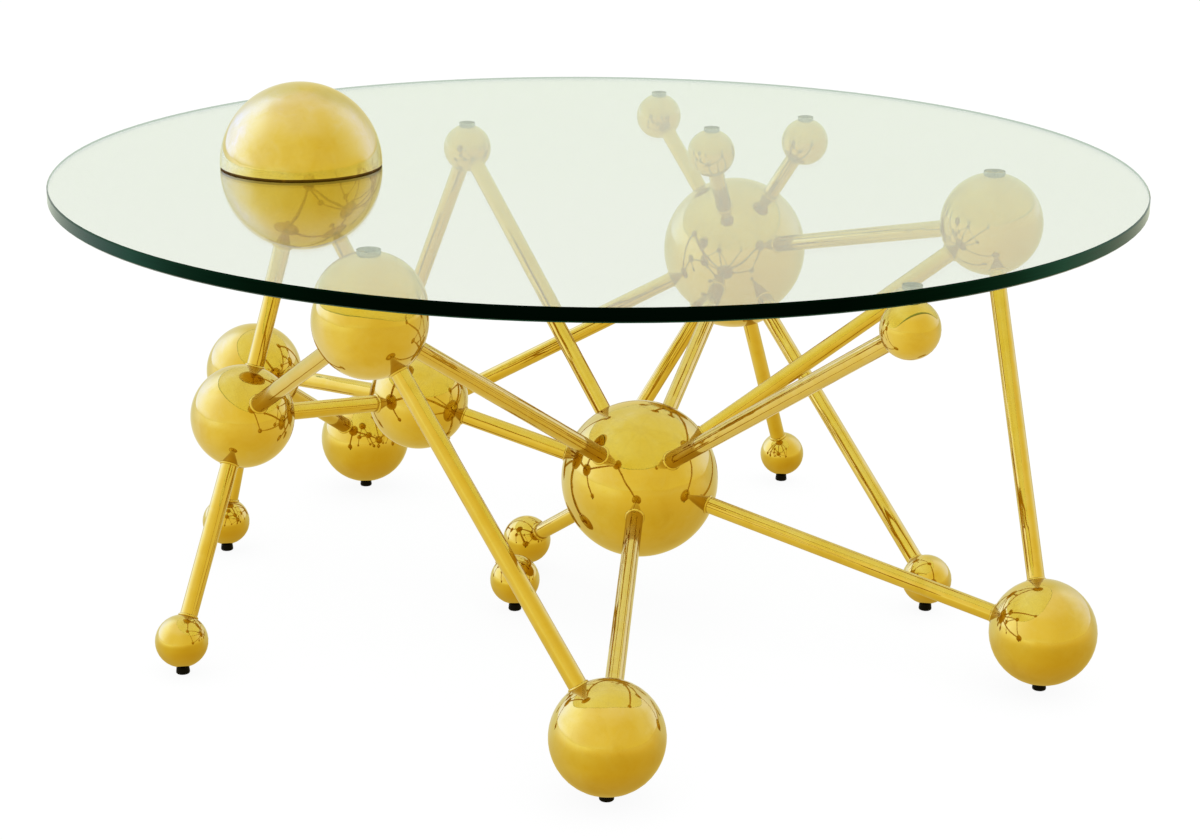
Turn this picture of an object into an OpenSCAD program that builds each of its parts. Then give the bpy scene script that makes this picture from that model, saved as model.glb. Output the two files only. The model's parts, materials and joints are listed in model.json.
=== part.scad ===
// Round glass coffee table on a brass ball-and-rod base.
// Millimetres, +Z up. The origin is on the floor below the centre of the glass.

/* [Glass top] */
// Diameter of the glass disc
glass_d = 1000; // [960:5:1100]
// Thickness of the glass
glass_t = 12; // [10:1:15]
// Height of the glass surface above the floor
table_h = 431; // [420:1:445]
// Width of the polished bevel along both edges of the rim
arris = 1.2; // [0.4:0.1:2.5]
// Diameter of the hole for the clamping stud
glass_hole_d = 18; // [16:1:22]

/* [Balls] */
// Diameter of the small balls
small_d = 48; // [44:1:52]
// Diameter of the medium balls
medium_d = 96; // [90:1:102]
// Diameter of the large balls and of the split ball
large_d = 150; // [140:1:156]
// Wall thickness of the spun shells
shell_t = 1.5; // [1.2:0.1:2.5]

/* [Rods] */
// Outside diameter of the tubes
rod_d = 16; // [12:0.5:18]
// Wall thickness of the tubes
rod_wall = 1.5; // [1:0.1:2.5]
// Gap left for the brazed joint between a tube and a ball
braze_gap = 0.02; // [0.01:0.01:0.1]

/* [Levelling feet] */
// Height of the glide below the ball
foot_h = 7.2; // [6:0.1:12]
// Diameter of the glide at the floor
foot_d = 12.6; // [10:0.2:16]
// Diameter of the glide where it meets the ball
foot_top_d = 11.4; // [9.5:0.1:15]
// Diameter of the foot's threaded stem
foot_stem_d = 8; // [6:0.5:8]
// Length of the stem above the glide
foot_stem_len = 13; // [10:0.5:14]
// Outside diameter of the flanged insert in the ball
insert_d = 12; // [11.5:0.1:13]
// Diameter of the insert's flange inside the shell
insert_flange_d = 17; // [15:0.5:20]
// Length of the insert
insert_len = 16; // [15:0.5:20]

/* [Glass pads] */
// Diameter of the clear pads on the medium balls
pad_d = 20; // [17:0.5:24]
// Diameter of the clear pads on the small balls
small_pad_d = 16; // [12:0.5:18]
// Thickness of a pad over the top of its ball
pad_h = 2; // [1.5:0.1:5]
// Diameter of the stem that holds a pad in its ball
pad_stem_d = 8; // [6:0.5:9]
// Length of the stem below the top of the ball
pad_stem_len = 6; // [4:0.5:8]

/* [Split ball] */
// Thickness of the gasket between a half ball and the glass
gasket_t = 1.5; // [0.5:0.1:2]
// Thickness of the plate that closes a half ball
plate_t = 4; // [3:0.5:6]
// Diameter of the clamping stud
stud_d = 10; // [8:0.5:12]
// Length of the stud inside each half ball
stud_reach = 24; // [18:1:30]
// Diameter of the threaded boss on each plate
boss_d = 22; // [18:1:28]
// Running clearance of the threads, measured on the radius
thread_gap = 0.05; // [0.02:0.01:0.1]

/* [Ball places] */
// Split ball clamped through the glass: distance right of the glass centre
split_x = -275; // [-290:1:-260]
// Split ball clamped through the glass: distance behind the glass centre
split_y = -1; // [-16:1:14]
// Medium ball under the glass, front left: distance right of the glass centre
front_left_top_x = -180; // [-195:1:-165]
// Medium ball under the glass, front left: distance behind the glass centre
front_left_top_y = -319; // [-334:1:-304]
// Medium free ball, left: distance right of the glass centre
left_x = -326; // [-341:1:-311]
// Medium free ball, left: distance behind the glass centre
left_y = -75; // [-90:1:-60]
// Medium free ball, left: height of its centre above the floor
left_z = 209; // [197:1:221]
// Medium free ball, left rear: distance right of the glass centre
left_rear_x = -350; // [-365:1:-335]
// Medium free ball, left rear: distance behind the glass centre
left_rear_y = 155; // [140:1:170]
// Medium free ball, left rear: height of its centre above the floor
left_rear_z = 185; // [173:1:197]
// Medium free ball between the left side and the centre: distance right of the glass centre
inner_x = -172; // [-187:1:-157]
// Medium free ball between the left side and the centre: distance behind the glass centre
inner_y = 34; // [19:1:49]
// Medium free ball between the left side and the centre: height of its centre above the floor
inner_z = 194; // [182:1:206]
// Medium floor ball, back left: distance right of the glass centre
back_left_x = -258; // [-273:1:-243]
// Medium floor ball, back left: distance behind the glass centre
back_left_y = 336; // [321:1:351]
// Small floor ball, left back: distance right of the glass centre
left_back_x = -380; // [-395:1:-365]
// Small floor ball, left back: distance behind the glass centre
left_back_y = 128; // [113:1:143]
// Small floor ball, left front: distance right of the glass centre
left_front_x = -370; // [-385:1:-355]
// Small floor ball, left front: distance behind the glass centre
left_front_y = -189; // [-204:1:-174]
// Large free ball near the middle: distance right of the glass centre
centre_x = 43; // [28:1:58]
// Large free ball near the middle: distance behind the glass centre
centre_y = -12; // [-27:1:3]
// Large free ball near the middle: height of its centre above the floor
centre_z = 132; // [120:1:144]
// Medium floor ball, front: distance right of the glass centre
front_x = 17; // [2:1:32]
// Medium floor ball, front: distance behind the glass centre
front_y = -431; // [-446:1:-416]
// Small floor ball inside the base, behind: distance right of the glass centre
inner_back_x = -69; // [-84:1:-54]
// Small floor ball inside the base, behind: distance behind the glass centre
inner_back_y = 87; // [72:1:102]
// Small floor ball inside the base, in front: distance right of the glass centre
inner_front_x = -76; // [-91:1:-61]
// Small floor ball inside the base, in front: distance behind the glass centre
inner_front_y = -24; // [-39:1:-9]
// Small floor ball, back: distance right of the glass centre
back_x = 205; // [190:1:220]
// Small floor ball, back: distance behind the glass centre
back_y = 374; // [359:1:389]
// Small floor ball, right: distance right of the glass centre
right_x = 323; // [308:1:338]
// Small floor ball, right: distance behind the glass centre
right_y = -8; // [-23:1:7]
// Medium floor ball, right front: distance right of the glass centre
right_front_x = 404; // [389:1:419]
// Medium floor ball, right front: distance behind the glass centre
right_front_y = -196; // [-211:1:-181]
// Medium ball under the glass, right: distance right of the glass centre
right_top_x = 369; // [354:1:384]
// Medium ball under the glass, right: distance behind the glass centre
right_top_y = 18; // [3:1:33]
// Small ball under the glass, front right: distance right of the glass centre
front_right_top_x = 246; // [231:1:261]
// Small ball under the glass, front right: distance behind the glass centre
front_right_top_y = -410; // [-425:1:-395]
// Large free ball at the rear: distance right of the glass centre
rear_x = 143; // [128:1:158]
// Large free ball at the rear: distance behind the glass centre
rear_y = 322; // [307:1:337]
// Large free ball at the rear: height of its centre above the floor
rear_z = 269; // [257:1:281]
// Small ball under the glass, back: distance right of the glass centre
back_top_x = 61; // [46:1:76]
// Small ball under the glass, back: distance behind the glass centre
back_top_y = 416; // [401:1:431]
// Small ball under the glass, in front of the rear ball: distance right of the glass centre
middle_top_x = 112; // [97:1:127]
// Small ball under the glass, in front of the rear ball: distance behind the glass centre
middle_top_y = 216; // [201:1:231]
// Small ball under the glass, back right: distance right of the glass centre
back_right_top_x = 211; // [196:1:226]
// Small ball under the glass, back right: distance behind the glass centre
back_right_top_y = 281; // [266:1:296]
// Small ball under the glass, back left: distance right of the glass centre
back_left_top_x = -136; // [-151:1:-121]
// Small ball under the glass, back left: distance behind the glass centre
back_left_top_y = 228; // [213:1:243]
// Small floor ball below the rear ball: distance right of the glass centre
rear_centre_x = -1; // [-16:1:14]
// Small floor ball below the rear ball: distance behind the glass centre
rear_centre_y = 280; // [265:1:295]

/* [Hidden] */

small_r = small_d / 2;
medium_r = medium_d / 2;
large_r = large_d / 2;
rod_r = rod_d / 2;
glass_r = glass_d / 2;
glass_under = table_h - glass_t;

// Centres of the balls. A floor ball stands on its foot, a top ball carries
// the glass on its pad, and the others have a height of their own.
c_left_back = [left_back_x, left_back_y, foot_h + small_r];
c_left_front = [left_front_x, left_front_y, foot_h + small_r];
c_inner_back = [inner_back_x, inner_back_y, foot_h + small_r];
c_inner_front = [inner_front_x, inner_front_y, foot_h + small_r];
c_back = [back_x, back_y, foot_h + small_r];
c_right = [right_x, right_y, foot_h + small_r];
c_rear_centre = [rear_centre_x, rear_centre_y, foot_h + small_r];
c_back_left = [back_left_x, back_left_y, foot_h + medium_r];
c_front = [front_x, front_y, foot_h + medium_r];
c_right_front = [right_front_x, right_front_y, foot_h + medium_r];
c_front_left_top = [front_left_top_x, front_left_top_y, glass_under - pad_h - medium_r];
c_right_top = [right_top_x, right_top_y, glass_under - pad_h - medium_r];
c_front_right_top = [front_right_top_x, front_right_top_y, glass_under - pad_h - small_r];
c_back_top = [back_top_x, back_top_y, glass_under - pad_h - small_r];
c_middle_top = [middle_top_x, middle_top_y, glass_under - pad_h - small_r];
c_back_right_top = [back_right_top_x, back_right_top_y, glass_under - pad_h - small_r];
c_back_left_top = [back_left_top_x, back_left_top_y, glass_under - pad_h - small_r];
c_left = [left_x, left_y, left_z];
c_left_rear = [left_rear_x, left_rear_y, left_rear_z];
c_inner = [inner_x, inner_y, inner_z];
c_centre = [centre_x, centre_y, centre_z];
c_rear = [rear_x, rear_y, rear_z];
// The lower half ball hangs below the glass, and the upper one stands on it.
c_split = [split_x, split_y, glass_under - gasket_t];
c_dome = [split_x, split_y, table_h + gasket_t];

small_floor = [c_left_back, c_left_front, c_inner_back, c_inner_front, c_back, c_right, c_rear_centre];
medium_floor = [c_back_left, c_front, c_right_front];
small_top = [c_front_right_top, c_back_top, c_middle_top, c_back_right_top, c_back_left_top];
medium_top = [c_front_left_top, c_right_top];

function down(c, r) = [c[0], c[1], c[2] - r];
function up(c, r) = [c[0], c[1], c[2] + r];

module brass() color([0.83, 0.66, 0.22]) children();
module dull_brass() color([0.70, 0.56, 0.28]) children();
module steel() color([0.70, 0.70, 0.72]) children();
module clear() color([0.78, 0.86, 0.80, 0.6]) children();
module black() color([0.05, 0.05, 0.05]) children();

// A hollow ball
module shell(r) {
    difference() {
        sphere(r = r, $fn = 96);
        sphere(r = r - shell_t, $fn = 96);
    }
}

// A hollow ball with a hole at the bottom for its foot insert
module floor_ball(c, r) {
    difference() {
        translate(c) shell(r);
        translate([c[0], c[1], c[2] - r - 1])
            cylinder(d = insert_d + 2 * braze_gap, h = r / 2, $fn = 64);
    }
}

// A hollow ball with a hole at the top for the stem of its pad
module top_ball(c, r) {
    difference() {
        translate(c) shell(r);
        translate([c[0], c[1], c[2] + r / 2])
            cylinder(d = pad_stem_d + 2 * thread_gap, h = r / 2 + 1, $fn = 64);
    }
}

// A tube between two balls. Its axis runs through both centres, and each end
// is cut hollow to sit on the ball.
module rod(p, rp, q, rq) {
    v = q - p;
    len = norm(v);
    z0 = sqrt(rp * rp - rod_r * rod_r) - 1;
    z1 = len - sqrt(rq * rq - rod_r * rod_r) + 1;
    brass() difference() {
        translate(p) rotate([0, acos(v[2] / len), atan2(v[1], v[0])])
            translate([0, 0, z0]) difference() {
                cylinder(r = rod_r, h = z1 - z0, $fn = 64);
                translate([0, 0, -1])
                    cylinder(r = rod_r - rod_wall, h = z1 - z0 + 2, $fn = 64);
            }
        translate(p) sphere(r = rp + braze_gap, $fn = 96);
        translate(q) sphere(r = rq + braze_gap, $fn = 96);
    }
}

// A levelling foot: a flared glide with a rounded floor edge and a stem
module foot(c) {
    b = foot_d / 2;
    t = foot_top_d / 2;
    black() translate([c[0], c[1], 0]) rotate_extrude($fn = 64)
        polygon([[0, 0], [b - 1.2, 0], [b - 0.5, 0.25], [b - 0.1, 0.8], [b, 1.6],
                 [t, foot_h - 0.5], [t - 0.5, foot_h], [foot_stem_d / 2, foot_h],
                 [foot_stem_d / 2, foot_h + foot_stem_len - 0.8],
                 [foot_stem_d / 2 - 0.8, foot_h + foot_stem_len],
                 [0, foot_h + foot_stem_len]]);
}

// The flanged insert of one floor ball, blind at the top
module insert(c, r) {
    difference() {
        union() {
            intersection() {
                translate(down(c, r)) cylinder(d = insert_d, h = insert_len, $fn = 64);
                translate(c) sphere(r = r, $fn = 96);
            }
            intersection() {
                translate(down(c, r)) cylinder(d = insert_flange_d, h = shell_t + 4, $fn = 64);
                translate(c) sphere(r = r - shell_t - braze_gap, $fn = 96);
            }
        }
        translate([c[0], c[1], c[2] - r - 1])
            cylinder(d = foot_stem_d + 2 * thread_gap, h = insert_len, $fn = 64);
    }
}

// One clear pad: a disc with a hollow underside and a stem into the ball
module pad(c, r, d) {
    difference() {
        translate(up(c, r - 4)) cylinder(d = d, h = 4 + pad_h, $fn = 64);
        translate(c) sphere(r = r + braze_gap, $fn = 96);
    }
    translate(up(c, r - pad_stem_len))
        cylinder(d = pad_stem_d, h = pad_stem_len + pad_h / 2, $fn = 64);
}

// The plate and boss that close a half ball; dir is 1 for the upper half
module half_plate(c, dir) {
    difference() {
        union() {
            intersection() {
                translate([c[0], c[1], dir > 0 ? c[2] : c[2] - plate_t])
                    cylinder(r = large_r, h = plate_t, $fn = 96);
                translate(c) sphere(r = large_r - shell_t - braze_gap, $fn = 96);
            }
            translate([c[0], c[1], dir > 0 ? c[2] + plate_t / 2 : c[2] - stud_reach - 4])
                cylinder(d = boss_d, h = stud_reach + 4 - plate_t / 2, $fn = 64);
        }
        translate([c[0], c[1], dir > 0 ? c[2] - 1 : c[2] - stud_reach - 5])
            cylinder(r = stud_d / 2 + thread_gap, h = stud_reach + 6, $fn = 64);
    }
}

// Half of a hollow ball; dir is 1 for the upper half
module half_shell(c, dir) {
    intersection() {
        translate(c) shell(large_r);
        translate([c[0] - large_d, c[1] - large_d, dir > 0 ? c[2] : c[2] - large_d])
            cube([2 * large_d, 2 * large_d, large_d]);
    }
}

module gasket(z) {
    difference() {
        translate([split_x, split_y, z])
            cylinder(r = large_r - shell_t / 2, h = gasket_t, $fn = 96);
        translate([split_x, split_y, z - 1])
            cylinder(r = stud_d / 2 + 0.3, h = gasket_t + 2, $fn = 64);
    }
}

module glass_top() color([0.75, 0.88, 0.82, 0.35]) difference() {
    rotate_extrude($fn = 180)
        polygon([[0, glass_under], [glass_r - arris, glass_under], [glass_r, glass_under + arris],
                 [glass_r, table_h - arris], [glass_r - arris, table_h], [0, table_h]]);
    translate([split_x, split_y, glass_under - 1])
        cylinder(d = glass_hole_d, h = glass_t + 2, $fn = 64);
}

module glass_bush() clear() difference() {
    translate([split_x, split_y, glass_under])
        cylinder(d = glass_hole_d - 0.2, h = glass_t, $fn = 64);
    translate([split_x, split_y, glass_under - 1])
        cylinder(r = stud_d / 2 + 0.3, h = glass_t + 2, $fn = 64);
}

module upper_dome() brass() half_shell(c_dome, 1);
module upper_dome_plate() dull_brass() half_plate(c_dome, 1);
module upper_gasket() black() gasket(table_h);
module lower_dome() brass() half_shell(c_split, -1);
module lower_dome_plate() dull_brass() half_plate(c_split, -1);
module lower_gasket() black() gasket(glass_under - gasket_t);
module dome_stud() steel()
    translate([split_x, split_y, c_split[2] - stud_reach])
        cylinder(d = stud_d, h = c_dome[2] - c_split[2] + 2 * stud_reach, $fn = 64);

module glass_pads() clear() {
    for (c = medium_top) pad(c, medium_r, pad_d);
    for (c = small_top) pad(c, small_r, small_pad_d);
}
module foot_inserts() dull_brass() {
    for (c = medium_floor) insert(c, medium_r);
    for (c = small_floor) insert(c, small_r);
}

module centre_ball() brass() translate(c_centre) shell(large_r);
module rear_ball() brass() translate(c_rear) shell(large_r);
module front_left_top_ball() brass() top_ball(c_front_left_top, medium_r);
module right_top_ball() brass() top_ball(c_right_top, medium_r);
module left_ball() brass() translate(c_left) shell(medium_r);
module left_rear_ball() brass() translate(c_left_rear) shell(medium_r);
module inner_ball() brass() translate(c_inner) shell(medium_r);
module medium_floor_balls() brass() for (c = medium_floor) floor_ball(c, medium_r);
module small_floor_balls() brass() for (c = small_floor) floor_ball(c, small_r);
module small_top_balls() brass() for (c = small_top) top_ball(c, small_r);

module rod_split_to_left() rod(c_split, large_r, c_left, medium_r);
module rod_split_to_inner() rod(c_split, large_r, c_inner, medium_r);
module rod_front_left_top_to_left() rod(c_front_left_top, medium_r, c_left, medium_r);
module rod_front_left_top_to_front() rod(c_front_left_top, medium_r, c_front, medium_r);
module rod_front_left_top_to_centre() rod(c_front_left_top, medium_r, c_centre, large_r);
module rod_left_to_inner() rod(c_left, medium_r, c_inner, medium_r);
module rod_left_to_left_front() rod(c_left, medium_r, c_left_front, small_r);
module rod_left_rear_to_inner() rod(c_left_rear, medium_r, c_inner, medium_r);
module rod_left_rear_to_back_left() rod(c_left_rear, medium_r, c_back_left, medium_r);
module rod_left_rear_to_left_back() rod(c_left_rear, medium_r, c_left_back, small_r);
module rod_inner_to_centre() rod(c_inner, medium_r, c_centre, large_r);
module rod_inner_to_inner_front() rod(c_inner, medium_r, c_inner_front, small_r);
module rod_back_left_to_back_left_top() rod(c_back_left, medium_r, c_back_left_top, small_r);
module rod_back_left_to_rear() rod(c_back_left, medium_r, c_rear, large_r);
module rod_centre_to_back_left_top() rod(c_centre, large_r, c_back_left_top, small_r);
module rod_centre_to_rear() rod(c_centre, large_r, c_rear, large_r);
module rod_centre_to_right_top() rod(c_centre, large_r, c_right_top, medium_r);
module rod_centre_to_front_right_top() rod(c_centre, large_r, c_front_right_top, small_r);
module rod_centre_to_front() rod(c_centre, large_r, c_front, medium_r);
module rod_centre_to_right_front() rod(c_centre, large_r, c_right_front, medium_r);
module rod_centre_to_inner_back() rod(c_centre, large_r, c_inner_back, small_r);
module rod_rear_to_right_top() rod(c_rear, large_r, c_right_top, medium_r);
module rod_rear_to_back_top() rod(c_rear, large_r, c_back_top, small_r);
module rod_rear_to_middle_top() rod(c_rear, large_r, c_middle_top, small_r);
module rod_rear_to_back_right_top() rod(c_rear, large_r, c_back_right_top, small_r);
module rod_rear_to_back() rod(c_rear, large_r, c_back, small_r);
module rod_rear_to_right() rod(c_rear, large_r, c_right, small_r);
module rod_rear_to_rear_centre() rod(c_rear, large_r, c_rear_centre, small_r);
module rod_right_top_to_right_front() rod(c_right_top, medium_r, c_right_front, medium_r);

module foot_front() foot(c_front);
module foot_right_front() foot(c_right_front);
module foot_back_left() foot(c_back_left);
module foot_left_front() foot(c_left_front);
module foot_left_back() foot(c_left_back);
module foot_inner_front() foot(c_inner_front);
module foot_inner_back() foot(c_inner_back);
module foot_back() foot(c_back);
module foot_right() foot(c_right);
module foot_rear_centre() foot(c_rear_centre);

glass_top();
glass_bush();
upper_dome();
upper_dome_plate();
upper_gasket();
lower_dome();
lower_dome_plate();
lower_gasket();
dome_stud();
glass_pads();
foot_inserts();
centre_ball();
rear_ball();
front_left_top_ball();
right_top_ball();
left_ball();
left_rear_ball();
inner_ball();
medium_floor_balls();
small_floor_balls();
small_top_balls();
rod_split_to_left();
rod_split_to_inner();
rod_front_left_top_to_left();
rod_front_left_top_to_front();
rod_front_left_top_to_centre();
rod_left_to_inner();
rod_left_to_left_front();
rod_left_rear_to_inner();
rod_left_rear_to_back_left();
rod_left_rear_to_left_back();
rod_inner_to_centre();
rod_inner_to_inner_front();
rod_back_left_to_back_left_top();
rod_back_left_to_rear();
rod_centre_to_back_left_top();
rod_centre_to_rear();
rod_centre_to_right_top();
rod_centre_to_front_right_top();
rod_centre_to_front();
rod_centre_to_right_front();
rod_centre_to_inner_back();
rod_rear_to_right_top();
rod_rear_to_back_top();
rod_rear_to_middle_top();
rod_rear_to_back_right_top();
rod_rear_to_back();
rod_rear_to_right();
rod_rear_to_rear_centre();
rod_right_top_to_right_front();
foot_front();
foot_right_front();
foot_back_left();
foot_left_front();
foot_left_back();
foot_inner_front();
foot_inner_back();
foot_back();
foot_right();
foot_rear_centre();
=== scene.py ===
# Looks for the round glass table: materials, small built details, floor, light and camera.
# Everything is in metres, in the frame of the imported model.
import json
import math
import bpy
import bmesh
import numpy as np
from mathutils import Matrix, Vector


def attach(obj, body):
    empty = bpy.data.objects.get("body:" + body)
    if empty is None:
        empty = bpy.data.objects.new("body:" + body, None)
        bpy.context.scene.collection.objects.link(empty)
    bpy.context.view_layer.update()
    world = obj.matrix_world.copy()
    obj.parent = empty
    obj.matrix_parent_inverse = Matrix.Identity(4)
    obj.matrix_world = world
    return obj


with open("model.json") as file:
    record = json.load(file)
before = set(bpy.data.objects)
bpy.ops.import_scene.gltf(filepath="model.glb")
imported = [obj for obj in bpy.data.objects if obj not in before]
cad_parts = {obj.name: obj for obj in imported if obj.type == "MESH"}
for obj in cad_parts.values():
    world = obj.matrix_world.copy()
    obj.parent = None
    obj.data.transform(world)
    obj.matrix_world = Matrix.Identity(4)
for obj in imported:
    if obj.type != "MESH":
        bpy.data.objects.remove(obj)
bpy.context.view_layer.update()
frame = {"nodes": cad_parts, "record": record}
nodes = frame["nodes"]
scene = bpy.context.scene


# ---------------------------------------------------------------- node helpers
class Tree:
    """Short-hand for building a shader node tree."""

    def __init__(self, owner):
        owner.use_nodes = True
        self.t = owner.node_tree
        self.t.nodes.clear()

    def n(self, kind, **kw):
        node = self.t.nodes.new("ShaderNode" + kind)
        for k, v in kw.items():
            if k == "ins":
                for name, value in v.items():
                    self.set(node, name, value)
            else:
                setattr(node, k, v)
        return node

    def set(self, node, name, value):
        sock = node.inputs[name]
        if isinstance(value, bpy.types.NodeSocket):
            self.t.links.new(value, sock)
        elif isinstance(value, bpy.types.Node):
            self.t.links.new(value.outputs[0], sock)
        elif isinstance(value, (tuple, list)) and len(value) == 3 and len(getattr(sock, "default_value", value)) == 4:
            sock.default_value = (*value, 1.0)
        else:
            sock.default_value = value

    def math(self, op, a, b=0.0, c=None, clamp=False):
        node = self.t.nodes.new("ShaderNodeMath")
        node.operation = op
        node.use_clamp = clamp
        for i, v in enumerate((a, b) if c is None else (a, b, c)):
            if isinstance(v, bpy.types.NodeSocket):
                self.t.links.new(v, node.inputs[i])
            else:
                node.inputs[i].default_value = v
        return node.outputs[0]

    def mixc(self, fac, a, b, mode="MIX"):
        node = self.t.nodes.new("ShaderNodeMix")
        node.data_type = "RGBA"
        node.blend_type = mode
        node.clamp_factor = True
        for sock, v in ((node.inputs[0], fac), (node.inputs[6], a), (node.inputs[7], b)):
            if isinstance(v, bpy.types.NodeSocket):
                self.t.links.new(v, sock)
            elif isinstance(v, (tuple, list)):
                sock.default_value = (*v[:3], 1.0)
            else:
                sock.default_value = v
        return node.outputs[2]

    def mixs(self, fac, a, b):
        node = self.t.nodes.new("ShaderNodeMixShader")
        for i, v in enumerate((fac, a, b)):
            if isinstance(v, bpy.types.NodeSocket):
                self.t.links.new(v, node.inputs[i])
            elif isinstance(v, bpy.types.Node):
                self.t.links.new(v.outputs[0], node.inputs[i])
            else:
                node.inputs[i].default_value = v
        return node.outputs[0]

    def smooth(self, x, lo, hi):
        node = self.t.nodes.new("ShaderNodeMapRange")
        node.interpolation_type = "SMOOTHSTEP"
        self.set(node, "Value", x)
        node.inputs["From Min"].default_value = lo
        node.inputs["From Max"].default_value = hi
        return node.outputs[0]

    def ramp(self, fac, stops, interp="LINEAR"):
        node = self.t.nodes.new("ShaderNodeValToRGB")
        node.color_ramp.interpolation = interp
        els = node.color_ramp.elements
        while len(els) < len(stops):
            els.new(0.5)
        for el, (pos, col) in zip(els, stops):
            el.position = pos
        for i, (pos, col) in enumerate(stops):
            els[i].position = pos
            els[i].color = (*col, 1.0) if isinstance(col, (tuple, list)) else (col, col, col, 1.0)
        self.t.links.new(fac, node.inputs[0])
        return node.outputs[0]

    def noise(self, vec, scale, detail=3.0, rough=0.5, distort=0.0):
        node = self.n("TexNoise", ins={"Vector": vec, "Scale": scale, "Detail": detail, "Roughness": rough, "Distortion": distort})
        return node.outputs["Fac"] if "Fac" in node.outputs else node.outputs[0]

    def out(self, surface=None, volume=None, kind="OutputMaterial"):
        o = self.n(kind)
        if surface is not None:
            self.set(o, "Surface", surface)
        if volume is not None:
            self.set(o, "Volume", volume)
        return o


# painted reflection: colour factor of brass from face-on (0) to edge-on (1), paler and bluer at the rims, halved to fit
# a colour ramp
PAINTED_RIM_SHEEN = [(f, tuple(c * 0.5 for c in col)) for f, col in (
    (0.00, (0.970, 0.930, 0.60)), (0.12, (0.970, 0.940, 0.66)), (0.25, (0.985, 0.970, 0.80)), (0.35, (0.985, 0.995, 1.05)),
    (0.45, (0.980, 1.010, 1.38)), (0.55, (0.950, 1.000, 1.55)), (0.65, (0.925, 0.985, 1.60)), (0.80, (0.900, 0.970, 1.50)))]


def brass(name, base, rough_lo, rough_hi, wave, brush=0.0, painted_shade_in_metal=True):
    """Polished brass: slow colour drift, polishing haze, fine swirl marks and a trace of waviness."""
    m = bpy.data.materials.new(name)
    t = Tree(m)
    co = t.n("TexCoord").outputs["Object"]
    drift = t.noise(co, 5.0, 4.0, 0.55)
    haze = t.noise(co, 34.0, 5.0, 0.6, 0.4)
    swirl = t.noise(co, 420.0, 3.0, 0.65, 1.2)
    fine = t.noise(co, 2600.0, 2.0, 0.5)
    col = t.ramp(drift, [(0.30, tuple(c * f for c, f in zip(base, (0.960, 0.94, 0.82)))), (0.70, tuple(min(1.0, c * f) for c, f in zip(base, (1.02, 1.025, 1.18))))])
    col = t.mixc(t.smooth(haze, 0.47, 0.72), col, tuple(c * f for c, f in zip(base, (0.945, 0.915, 0.84))))
    patch = t.noise(co, 72.0, 4.0, 0.6, 0.6)
    col = t.mixc(1.0, col, t.ramp(patch, [(0.32, (0.985, 0.965, 0.78)), (0.50, (1.0, 1.0, 1.0)), (0.68, (1.0, 1.0, 1.0))]), "MULTIPLY")
    col = t.mixc(t.smooth(patch, 0.52, 0.74), col, t.mixc(1.0, col, (1.005, 1.03, 1.30), "MULTIPLY"))
    # painted reflection: the brass colour pales and turns bluer towards grazing angles, standing in for rims mirroring
    # the bright room
    facing = t.n("LayerWeight", ins={"Blend": 0.5}).outputs["Facing"]
    col = t.mixc(1.0, col, t.mixc(1.0, t.ramp(facing, PAINTED_RIM_SHEEN), (2.0, 2.0, 2.0), "MULTIPLY"), "MULTIPLY")
    if painted_shade_in_metal:
        # painted shade: brass seen mirrored in other metal is made darker and browner
        seen_in_metal = t.math("GREATER_THAN", t.n("LightPath").outputs["Glossy Depth"], 0.5)
        col = t.mixc(seen_in_metal, col, t.mixc(1.0, col, (0.70, 0.64, 0.60), "MULTIPLY"))
    mixed = t.math("ADD", t.math("MULTIPLY", haze, 0.6), t.math("MULTIPLY", swirl, 0.4))
    rough = t.n("MapRange", ins={"Value": mixed, "From Min": 0.30, "From Max": 0.72, "To Min": rough_lo, "To Max": rough_hi}).outputs[0]
    h = t.math("ADD", t.math("MULTIPLY", t.noise(co, 38.0, 1.0, 0.4), wave), t.math("MULTIPLY", swirl, 0.006 + brush))
    h = t.math("ADD", h, t.math("MULTIPLY", fine, 0.0012 + brush))
    bump = t.n("Bump", ins={"Height": h, "Strength": 0.5, "Distance": 0.002})
    p = t.n("BsdfPrincipled", ins={"Base Color": col, "Metallic": 1.0, "Roughness": rough, "Normal": bump.outputs[0]})
    p.inputs["Specular Tint"].default_value = (1.0, 0.97, 0.86, 1.0)
    t.out(p)
    return m


GOLD = (0.80, 0.57, 0.085)
mat_brass = brass("polished_brass_finish", GOLD, 0.020, 0.075, 0.60)
# painted light: the upper half of the split ball gets a paler, yellower copy of the brass than the lower half, and no
# painted shade in metal
mat_dome_painted_lit = brass("polished_brass_dome", (0.80, 0.61, 0.135), 0.020, 0.075, 0.45, painted_shade_in_metal=False)
mat_machined = brass("machined_brass_finish", (0.66, 0.50, 0.16), 0.20, 0.38, 0.05, 0.03)


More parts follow.
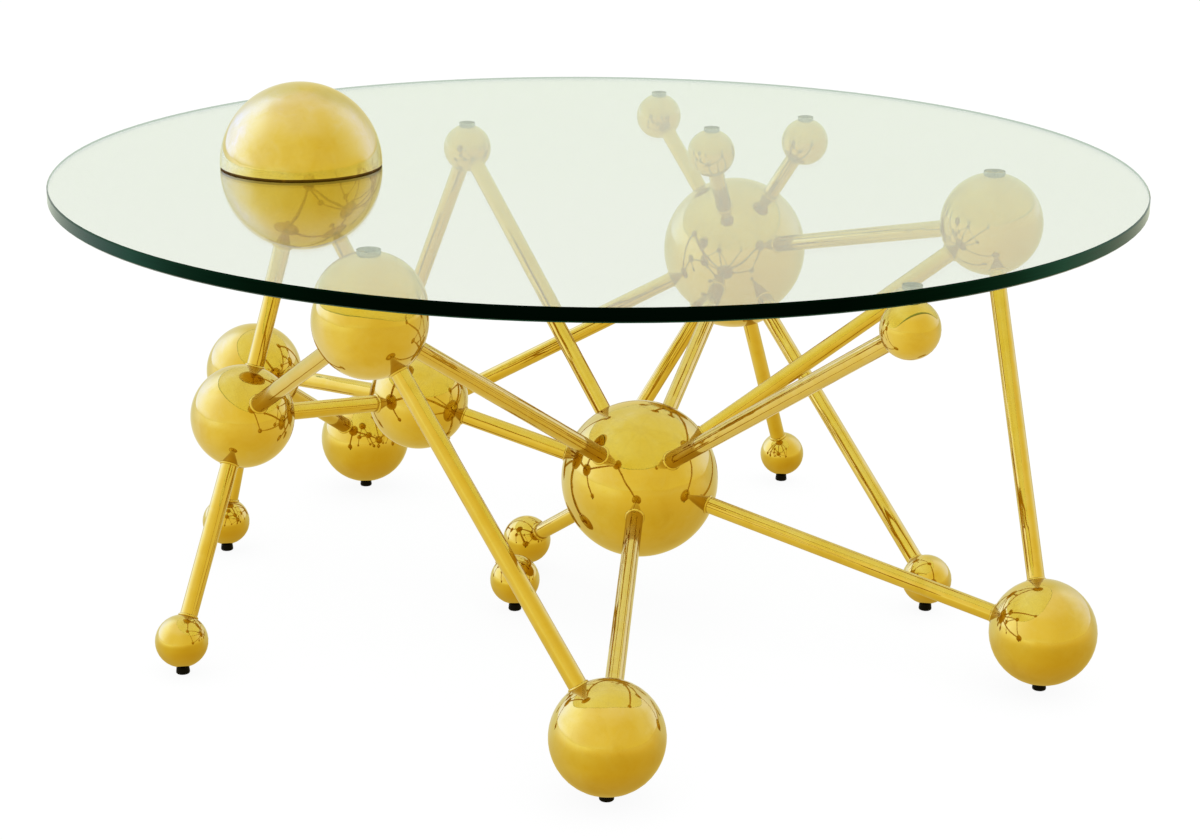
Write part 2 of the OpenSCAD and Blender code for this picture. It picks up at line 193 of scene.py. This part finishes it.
def make_glass():
    """Clear float glass. The faces refract and mirror; the polished rim looks dark green because light
    that enters it has the whole width of the disc to travel."""
    m = bpy.data.materials.new("float_glass")
    t = Tree(m)
    geo = t.n("NewGeometry")
    co = t.n("TexCoord").outputs["Object"]
    nz = t.math("ABSOLUTE", t.n("SeparateXYZ", ins={0: geo.outputs["True Normal"]}).outputs[2])
    on_rim = t.math("LESS_THAN", nz, 0.9)
    path = t.n("LightPath")
    # faces: refraction and reflection with a trace of ripple, and a faint iron tint
    ripple = t.noise(co, 3.2, 2.0, 0.4)
    dust = t.noise(co, 900.0, 3.0, 0.6)
    bump = t.n("Bump", ins={"Height": ripple, "Strength": 0.06, "Distance": 0.0008})
    slant = t.math("ABSOLUTE", t.n("SeparateXYZ", ins={0: geo.outputs["Incoming"]}).outputs[2])
    tint = t.ramp(slant, [(0.12, (0.808, 0.802, 0.788)), (0.24, (0.845, 0.837, 0.824)), (0.55, (0.945, 0.955, 0.935)), (1.0, (0.968, 0.976, 0.958))])
    later = t.math("GREATER_THAN", path.outputs["Glossy Depth"], 0.5)
    tint = t.mixc(later, tint, (0.975, 0.985, 0.955))
    tint = t.mixc(t.smooth(t.noise(co, 1.3, 2.0), 0.35, 0.65), tint, t.mixc(1.0, tint, (0.992, 0.997, 0.990), "MULTIPLY"))
    sheen = t.mixc(t.smooth(dust, 0.55, 0.85), (0.97, 1.02, 0.92), (0.94, 0.99, 0.89))
    fres = t.n("Fresnel", ins={"IOR": 1.52, "Normal": bump.outputs[0]})
    refr = t.n("BsdfRefraction", ins={"Color": tint, "IOR": 1.52, "Roughness": 0.0, "Normal": bump.outputs[0]})
    refl = t.n("BsdfGlossy", ins={"Color": sheen, "Roughness": 0.0, "Normal": bump.outputs[0]})
    face = t.mixs(fres.outputs[0], refr, refl)
    # light passes straight through for shadows, so the base and the floor stay lit
    clear = t.n("BsdfTransparent", ins={"Color": (0.93, 0.96, 0.93)})
    through = t.math("MAXIMUM", path.outputs["Is Shadow Ray"], path.outputs["Is Diffuse Ray"])
    face = t.mixs(through, face, clear)
    # rim, seen from outside: very dark green body under a polished surface
    streak = t.noise(t.n("Mapping", ins={"Vector": co, "Scale": (6.0, 6.0, 260.0)}).outputs[0], 4.0, 3.0, 0.6)
    dot = t.n("VectorMath", operation="DOT_PRODUCT", ins={0: geo.outputs["Incoming"], 1: geo.outputs["Normal"]})
    facing = t.math("ABSOLUTE", dot.outputs["Value"])
    deep = t.ramp(facing, [(0.20, (0.008, 0.040, 0.020)), (0.36, (0.004, 0.045, 0.025)), (0.50, (0.002, 0.046, 0.022)), (0.62, (0.0008, 0.017, 0.006)), (0.74, (0.0005, 0.0068, 0.0022)), (0.86, (0.0003, 0.0026, 0.0009))])
    deep = t.mixc(t.smooth(streak, 0.35, 0.75), deep, t.mixc(1.0, deep, (0.70, 0.80, 0.80), "MULTIPLY"))
    deep = t.mixc(later, deep, (0.10, 0.115, 0.045))
    body = t.n("BsdfDiffuse", ins={"Color": deep, "Roughness": 0.2})
    coat = t.n("BsdfGlossy", ins={"Color": (0.96, 1.0, 0.94), "Roughness": 0.0})
    rim_f = t.math("MULTIPLY", t.math("POWER", t.math("SUBTRACT", 1.0, facing), 5.5), 0.96)
    rim_out = t.mixs(rim_f, body, coat)
    rim_in = t.n("BsdfTransparent", ins={"Color": (0.30, 0.42, 0.34)})
    rim = t.mixs(geo.outputs["Backfacing"], rim_out, rim_in)
    t.out(t.mixs(on_rim, face, rim))
    return m


mat_glass = make_glass()


def make_silicone():
    """Clear silicone. The skin is see-through with a light haze. Painted shade: the far side of the moulded edge,
    seen through the disc, is painted near-black, and the near side wall a darker olive than the pale flat faces."""
    m = bpy.data.materials.new("clear_silicone_finish")
    t = Tree(m)
    co = t.n("TexCoord").outputs["Object"]
    geo = t.n("NewGeometry")
    fog = t.noise(co, 160.0, 3.0, 0.6)
    fine = t.noise(co, 1500.0, 2.0, 0.5)
    nz = t.math("ABSOLUTE", t.n("SeparateXYZ", ins={0: geo.outputs["True Normal"]}).outputs[2])
    flat = t.math("GREATER_THAN", nz, 0.7)
    far = t.math("MULTIPLY", geo.outputs["Backfacing"], t.math("SUBTRACT", 1.0, flat))
    skin = t.ramp(fog, [(0.3, (0.60, 0.62, 0.45)), (0.7, (0.72, 0.74, 0.57))])
    # painted shade: the side wall of the edge is darker, the far side near-black
    side = t.ramp(fog, [(0.3, (0.30, 0.31, 0.17)), (0.7, (0.40, 0.41, 0.25))])
    deep = t.ramp(fog, [(0.3, (0.045, 0.048, 0.018)), (0.7, (0.085, 0.090, 0.040))])
    bump = t.n("Bump", ins={"Height": fine, "Strength": 0.10, "Distance": 0.0003})
    col = t.mixc(far, t.mixc(flat, side, skin), deep)
    p = t.n("BsdfPrincipled", ins={"Base Color": col, "Roughness": 0.32, "IOR": 1.41, "Specular IOR Level": 0.25, "Specular Tint": (1.0, 0.85, 0.35), "Normal": bump.outputs[0]})
    see = t.n("BsdfTransparent", ins={"Color": (0.93, 0.94, 0.89)})
    through = t.math("ADD", 0.50, t.math("MULTIPLY", flat, 0.32))
    through = t.math("MULTIPLY", through, t.math("SUBTRACT", 1.0, t.math("MULTIPLY", far, 0.85)))
    t.out(t.mixs(through, p, see))
    return m


def make_black(name, rough, scale, strength, tone=(0.006, 0.006, 0.006), sheen=0.2):
    """Moulded black: fine grain, faint grey wear and uneven sheen."""
    m = bpy.data.materials.new(name)
    t = Tree(m)
    co = t.n("TexCoord").outputs["Object"]
    grain = t.noise(co, scale, 4.0, 0.6)
    wear = t.noise(co, scale * 0.12, 3.0, 0.6)
    col = t.mixc(t.smooth(wear, 0.55, 0.85), tone, tuple(c * 2.6 + 0.003 for c in tone))
    r = t.n("MapRange", ins={"Value": grain, "From Min": 0.3, "From Max": 0.7, "To Min": rough - 0.08, "To Max": rough + 0.12}).outputs[0]
    bump = t.n("Bump", ins={"Height": grain, "Strength": strength, "Distance": 0.0004})
    t.out(t.n("BsdfPrincipled", ins={"Base Color": col, "Roughness": r, "Specular IOR Level": sheen, "Specular Tint": (1.0, 0.85, 0.35), "Normal": bump.outputs[0]}))
    return m


def make_steel():
    m = bpy.data.materials.new("plated_steel_finish")
    t = Tree(m)
    co = t.n("TexCoord").outputs["Object"]
    thread = t.n("TexWave", wave_type="BANDS", bands_direction="Z", ins={"Vector": co, "Scale": 210.0, "Distortion": 0.0})
    grain = t.noise(co, 800.0, 3.0, 0.6)
    col = t.ramp(grain, [(0.3, (0.48, 0.48, 0.50)), (0.7, (0.62, 0.62, 0.63))])
    bump = t.n("Bump", ins={"Height": thread.outputs["Fac"], "Strength": 0.8, "Distance": 0.0007})
    t.out(t.n("BsdfPrincipled", ins={"Base Color": col, "Metallic": 1.0, "Roughness": 0.30, "Normal": bump.outputs[0]}))
    return m


by_slot = {
    "polished_brass": mat_brass,
    "machined_brass": mat_machined,
    "clear_glass": mat_glass,
    "clear_silicone": make_silicone(),
    # the gasket is dark rubber; its brown tone is painted reflection of the brass mirrored in the seam
    "black_gasket": make_black("gasket_rubber", 0.55, 900.0, 0.25, (0.125, 0.058, 0.002), 0.1),
    "steel_stud": make_steel(),
    "black_foot": make_black("foot_black", 0.42, 1400.0, 0.30, (0.002, 0.002, 0.002), 0.08),
}
slot_of = {s["node"]: s["material_slot"] for s in frame["record"]["subparts"]}
for name, obj in nodes.items():
    # the upper dome takes the paler painted-light copy of the brass
    mat = mat_dome_painted_lit if name == "upper_dome" else by_slot[slot_of[name]]
    if len(obj.material_slots) == 0:
        obj.data.materials.append(mat)
    for s in obj.material_slots:
        s.material = mat


# ---------------------------------------------------------------- built details
def coords(obj):
    a = np.empty(len(obj.data.vertices) * 3)
    obj.data.vertices.foreach_get("co", a)
    return a.reshape(-1, 3)


def islands(obj):
    """Split a mesh into connected parts and give each part's vertices."""
    v = coords(obj)
    e = np.empty(len(obj.data.edges) * 2, dtype=np.int64)
    obj.data.edges.foreach_get("vertices", e)
    e = e.reshape(-1, 2)
    lab = np.arange(len(v))
    while True:
        low = np.minimum(lab[e[:, 0]], lab[e[:, 1]])
        new = lab.copy()
        np.minimum.at(new, e[:, 0], low)
        np.minimum.at(new, e[:, 1], low)
        new = new[new]
        if np.array_equal(new, lab):
            break
        lab = new
    return [v[lab == k] for k in np.unique(lab)]


def ball_list():
    out = []
    for name, obj in nodes.items():
        if not (name.endswith("_ball") or name.endswith("_balls") or name == "lower_dome"):
            continue
        for part in islands(obj):
            lo, hi = part.min(0), part.max(0)
            r = (hi[0] - lo[0]) / 2
            if r < 0.02:
                continue
            c = (lo + hi) / 2
            if name == "lower_dome":
                c[2] = hi[2]
            out.append((c, r))
    # a shell has an outer and an inner skin: keep the outer one
    keep = []
    for c, r in sorted(out, key=lambda q: -q[1]):
        if all(np.linalg.norm(c - k[0]) > 0.01 for k in keep):
            keep.append((c, r))
    return keep


def revolve(bm, origin, axis, profile, seg=40):
    """Closed ring of revolution: profile is a closed loop of (radius, height along axis)."""
    z = Vector(axis).normalized()
    x = z.orthogonal().normalized()
    y = z.cross(x)
    o = Vector(origin)
    loops = []
    for i in range(seg):
        a = math.tau * i / seg
        d = x * math.cos(a) + y * math.sin(a)
        loops.append([bm.verts.new(o + d * r + z * h) for r, h in profile])
    n = len(profile)
    for i in range(seg):
        a, b = loops[i], loops[(i + 1) % seg]
        for j in range(n):
            k = (j + 1) % n
            f = bm.faces.new((a[j], b[j], b[k], a[k]))
            f.smooth = True


def add_mesh(name, bm, mat):
    bmesh.ops.recalc_face_normals(bm, faces=bm.faces)
    me = bpy.data.meshes.new(name)
    bm.to_mesh(me)
    bm.free()
    me.materials.append(mat)
    ob = bpy.data.objects.new(name, me)
    scene.collection.objects.link(ob)
    return ob


def braze_beads():
    """Where each tube meets its ball there is a small turned bead of brass."""
    balls = ball_list()
    bm = bmesh.new()
    rod_r = 0.008
    count = 0
    for name, obj in nodes.items():
        if not name.startswith("rod_"):
            continue
        v = coords(obj)
        c = v.mean(0)
        axis = np.linalg.svd(v - c, full_matrices=False)[2][0]
        h = (v - c) @ axis
        for s in (1, -1):
            tip = c + axis * (h.max() if s > 0 else h.min())
            bc, br = min(balls, key=lambda q: abs(np.linalg.norm(q[0] - tip) - q[1]))
            # the tube's own axis aims at the ball's centre
            other = c + axis * (h.min() if s > 0 else h.max())
            d = other - bc
            d = d / np.linalg.norm(d)
            top = math.sqrt(br * br - rod_r * rod_r)
            w = 0.0014
            prof = [(rod_r - 0.0003, top + w), (rod_r + 0.00012, top + w * 0.96), (rod_r + w * 0.62, top + w * 0.72),
                    (rod_r + w * 0.96, top + w * 0.20)]
            rr = rod_r + w
            prof += [(rr, math.sqrt(br * br - rr * rr) + 0.00005), (rr - 0.0003, math.sqrt(br * br - rr * rr) - 0.0004),
                     (rod_r - 0.0003, top - 0.0003)]
            revolve(bm, bc, d, prof)
            count += 1
    ob = add_mesh("braze_beads", bm, mat_brass)
    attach(ob, "base")
    print("beads", count, "balls", len(balls))


braze_beads()

# ---------------------------------------------------------------- world
def make_world():
    """A plain white studio. What polished metal mirrors is a soft gradient: a broad bright area on the
    left, an even wall in front and a slightly duller one on the right."""
    w = bpy.data.worlds.new("studio")
    scene.world = w
    t = Tree(w)
    d = t.n("SeparateXYZ", ins={0: t.n("TexCoord").outputs["Generated"]})
    x, y, z = d.outputs
    path = t.n("LightPath")
    az = t.math("DIVIDE", t.math("ARCTAN2", x, t.math("MULTIPLY", y, -1.0)), math.tau)
    az = t.math("ADD", az, 0.5)  # 0.5 is towards the camera, 0.25 left, 0.75 right
    k = 6.0
    ring = [(-180, (0.93, 0.90, 0.62)), (-168, (0.90, 0.93, 0.80)), (-152, (0.92, 1.02, 1.2)), (-139, (1.18, 1.45, 3.2)),
            (-120, (1.24, 1.52, 3.7)), (-98, (1.22, 1.44, 3.3)), (-80, (1.17, 1.32, 2.8)), (-60, (1.03, 1.07, 1.7)), (-35, (0.97, 0.96, 0.97)),
            (0, (0.95, 0.93, 0.86)), (25, (0.88, 0.82, 0.58)), (60, (0.86, 0.80, 0.60)), (80, (0.88, 0.86, 0.82)),
            (100, (0.92, 0.94, 1.30)), (120, (0.98, 1.06, 1.9)), (137, (1.01, 1.11, 2.0)), (151, (0.85, 0.90, 1.0)), (166, (0.80, 0.82, 0.68)), (180, (0.93, 0.90, 0.62))]
    wall = t.ramp(az, [((a + 180) / 360, tuple(c / k for c in col)) for a, col in ring], "B_SPLINE")
    wall = t.mixc(1.0, wall, (k, k, k), "MULTIPLY")
    top = t.mixc(t.smooth(x, -0.9, 0.6), (1.05, 1.10, 1.95), (0.94, 0.94, 1.35))
    sky = t.mixc(t.smooth(z, 0.62, 0.97), wall, top)
    low = t.mixc(t.smooth(z, -0.9, 0.0), (0.58, 0.45, 0.15), (0.80, 0.75, 0.40))
    haze = t.mixc(t.smooth(x, -0.8, 0.5), (1.00, 1.08, 1.5), (0.88, 0.83, 0.58))
    edge = t.math("ADD", 0.10, t.math("MULTIPLY", t.smooth(x, -0.9, -0.1), 0.12))
    rise = t.n("MapRange", interpolation_type="SMOOTHSTEP", ins={"Value": z, "From Min": -0.03, "From Max": edge}).outputs[0]
    sky = t.mixc(t.smooth(y, 0.1, 0.5), t.mixc(rise, haze, sky), sky)
    metal = t.mixc(t.smooth(z, -0.05, 0.02), low, sky)
    # sheet glass mirrors the plain far side of the room
    first = t.math("LESS_THAN", path.outputs["Glossy Depth"], 1.5)
    # overhead, what the metal sees through the glass is paler
    over = t.math("MULTIPLY", t.math("GREATER_THAN", path.outputs["Transmission Depth"], 0.5), t.smooth(z, 0.55, 0.85))
    plainwall = t.mixc(over, (0.95, 0.985, 0.955), t.mixc(t.smooth(x, -0.6, 0.2), (1.03, 1.15, 1.80), (0.95, 0.99, 1.15)))
    metal = t.mixc(t.math("MULTIPLY", path.outputs["Is Singular Ray"], first), metal, plainwall)
    mirrored = t.math("GREATER_THAN", path.outputs["Glossy Depth"], 0.5)
    plain = t.mixc(path.outputs["Is Diffuse Ray"], (1.0, 1.0, 1.0), (1.08, 1.08, 1.07))
    col = t.mixc(mirrored, plain, metal)
    bg = t.n("Background", ins={"Color": col, "Strength": 1.0})
    t.out(bg, kind="OutputWorld")
    w.cycles.sampling_method = "AUTOMATIC"


make_world()


# ---------------------------------------------------------------- floor
def make_floor():
    bm = bmesh.new()
    rings = [0.0, 0.4, 0.9, 1.6, 3.0, 6.0, 14.0, 30.0]
    seg = 64
    prev = [bm.verts.new((0, 0, 0))]
    for r in rings[1:]:
        cur = [bm.verts.new((r * math.cos(math.tau * i / seg), r * math.sin(math.tau * i / seg), 0)) for i in range(seg)]
        for i in range(seg):
            j = (i + 1) % seg
            if len(prev) == 1:
                bm.faces.new((prev[0], cur[i], cur[j]))
            else:
                bm.faces.new((prev[i], cur[i], cur[j], prev[j]))
        prev = cur
    me = bpy.data.meshes.new("floor")
    bm.to_mesh(me)
    bm.free()
    ob = bpy.data.objects.new("floor", me)
    scene.collection.objects.link(ob)
    m = bpy.data.materials.new("pale_floor")
    t = Tree(m)
    co = t.n("TexCoord").outputs["Object"]
    speck = t.noise(co, 3.0, 3.0, 0.5)
    col = t.ramp(speck, [(0.3, (0.93, 0.93, 0.93)), (0.7, (0.95, 0.95, 0.95))])
    diff = t.n("BsdfDiffuse", ins={"Color": col, "Roughness": 0.0})
    view = t.n("SeparateXYZ", ins={0: t.n("NewGeometry").outputs["Incoming"]}).outputs
    inc = t.math("ABSOLUTE", view[2])
    # painted shadow and light: seen in the metal, the floor is an emission that is darkest right under a part and
    # brighter further out
    reach = t.math("DIVIDE", t.n("LightPath").outputs["Ray Length"], 1.2, clamp=True)
    glow = t.ramp(reach, [(p / 1.2, c) for p, c in [(0.0, (0.60, 0.47, 0.12)), (0.03, (0.65, 0.51, 0.16)), (0.06, (0.71, 0.59, 0.20)), (0.13, (0.745, 0.64, 0.26)),
                                                    (0.19, (0.77, 0.68, 0.32)), (0.30, (0.825, 0.735, 0.40)), (0.45, (0.865, 0.79, 0.48)), (0.75, (0.895, 0.84, 0.60)), (1.15, (0.91, 0.87, 0.68))]])
    # painted light and shade by direction: duller on one side, brighter and bluer on the other, duller behind at low
    # angles
    glow = t.mixc(1.0, glow, t.mixc(t.smooth(view[0], -0.85, 0.75), (0.91, 0.865, 0.80), (1.04, 1.06, 1.20)), "MULTIPLY")
    aside = t.smooth(view[0], 0.20, 0.80)
    glow = t.mixc(1.0, glow, t.mixc(aside, (1.0, 1.0, 1.0), (1.04, 1.09, 1.42)), "MULTIPLY")
    glow = t.mixc(1.0, glow, t.mixc(t.math("MULTIPLY", aside, t.smooth(inc, 0.28, 0.02)), (1.0, 1.0, 1.0), (1.10, 1.18, 1.50)), "MULTIPLY")
    behind = t.math("MULTIPLY", t.smooth(view[1], -0.15, -0.85), t.smooth(inc, 0.55, 0.15))
    glow = t.mixc(behind, glow, t.mixc(t.smooth(view[0], -0.7, 0.7), (0.76, 0.76, 0.62), (0.88, 0.93, 0.84)))
    painted_floor_in_metal = t.n("Emission", ins={"Color": glow, "Strength": 1.0})
    path = t.n("LightPath")
    mirrored = t.math("GREATER_THAN", path.outputs["Glossy Depth"], 0.5)
    lift = t.n("Emission", ins={"Color": (1.0, 1.0, 1.0), "Strength": 1.03})
    t.out(t.mixs(mirrored, t.mixs(0.90, diff, lift), painted_floor_in_metal))
    ob.data.materials.append(m)
    return ob


make_floor()

# ---------------------------------------------------------------- camera
def make_camera():
    yaw, pitch, roll = math.radians(-0.9863), math.radians(17.730), math.radians(0.4848)
    fwd = Vector((math.sin(yaw), math.cos(yaw), 0))
    right = Vector((math.cos(yaw), -math.sin(yaw), 0))
    up0 = Vector((0, 0, 1))
    z = fwd * math.cos(pitch) - up0 * math.sin(pitch)
    up = up0 * math.cos(pitch) + fwd * math.sin(pitch)
    r2 = right * math.cos(roll) + up * math.sin(roll)
    u2 = -right * math.sin(roll) + up * math.cos(roll)
    cam = bpy.data.cameras.new("camera")
    cam.sensor_fit = "HORIZONTAL"
    cam.sensor_width = 36.0
    cam.lens = 2444.92 / 1200 * 36
    cam.shift_x = (600 - 581.21) / 1200
    cam.shift_y = (424.66 - 420) / 1200
    cam.clip_end = 200
    ob = bpy.data.objects.new("camera", cam)
    ob.matrix_world = Matrix((
        (r2.x, u2.x, -z.x, 0.0248),
        (r2.y, u2.y, -z.y, -2.2284),
        (r2.z, u2.z, -z.z, 0.8938),
        (0, 0, 0, 1)))
    scene.collection.objects.link(ob)
    scene.camera = ob


make_camera()
scene.view_settings.view_transform = "Standard"
scene.view_settings.look = "None"
scene.cycles.caustics_reflective = False
scene.cycles.caustics_refractive = False
